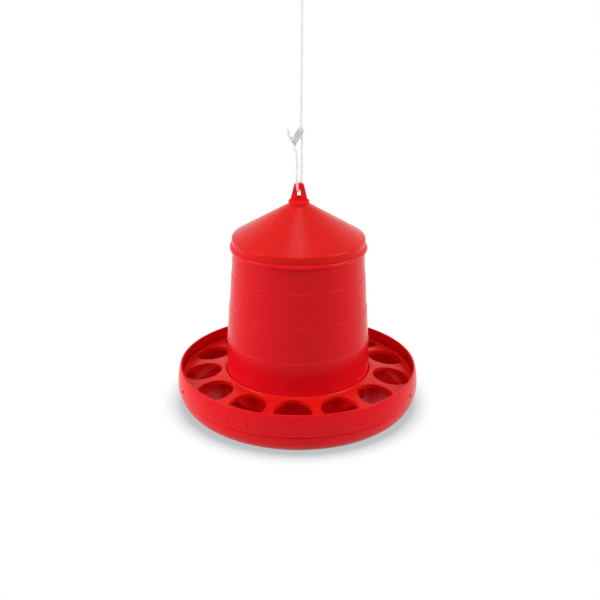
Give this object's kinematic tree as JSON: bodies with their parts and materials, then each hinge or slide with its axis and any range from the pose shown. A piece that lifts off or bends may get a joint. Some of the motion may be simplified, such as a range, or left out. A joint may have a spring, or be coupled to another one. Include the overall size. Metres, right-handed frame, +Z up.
{
  "type": "gravity poultry feeder",
  "caption": "Hanging gravity feeder: a ribbed hopper with a cone lid over a round pan with a head-hole guard ring, on a rope with a steel height adjuster.",
  "frame": {"origin": "centre of the pan's foot ring, on the ground", "axes": "+Z up along the hopper's axis and the hanger bar; front is -Y"},
  "size_m": [0.4074, 0.4074, 0.7375],
  "materials": {
    "red_plastic": "satin moulded",
    "pan_plastic": "satin moulded",
    "guard_plastic": "satin moulded",
    "hopper_plastic": "satin moulded",
    "lid_plastic": "satin moulded",
    "zinc_steel": "galvanised",
    "rope": "braided nylon"
  },
  "bodies": {
    "stand": {"feed_pan": "pan_plastic", "guard_ring": "guard_plastic", "guard_ring_pins": "red_plastic", "hanger_bar": "red_plastic", "bar_key": "red_plastic", "rope_adjuster": "zinc_steel", "hanging_rope": "rope", "adjuster_knot": "rope", "top_knot": "rope", "top_loop": "rope"},
    "hopper": {"hopper": "hopper_plastic", "hopper_bridge": "red_plastic"},
    "pin": {"height_pin": "red_plastic"},
    "lid": {"lid": "lid_plastic"}
  },
  "joints": [
    {"name": "hopper_height", "type": "slide", "parent": "stand", "child": "hopper", "axis": [0, 0, 1], "range_m": [0, 0.024]},
    {"name": "pin_pull", "type": "slide", "parent": "stand", "child": "pin", "axis": [0, -1, 0], "range_m": [0, 0.032]},
    {"name": "lid_lift", "type": "slide", "parent": "hopper", "child": "lid", "axis": [0, 0, 1], "range_m": [0, 0.058]}
  ]
}
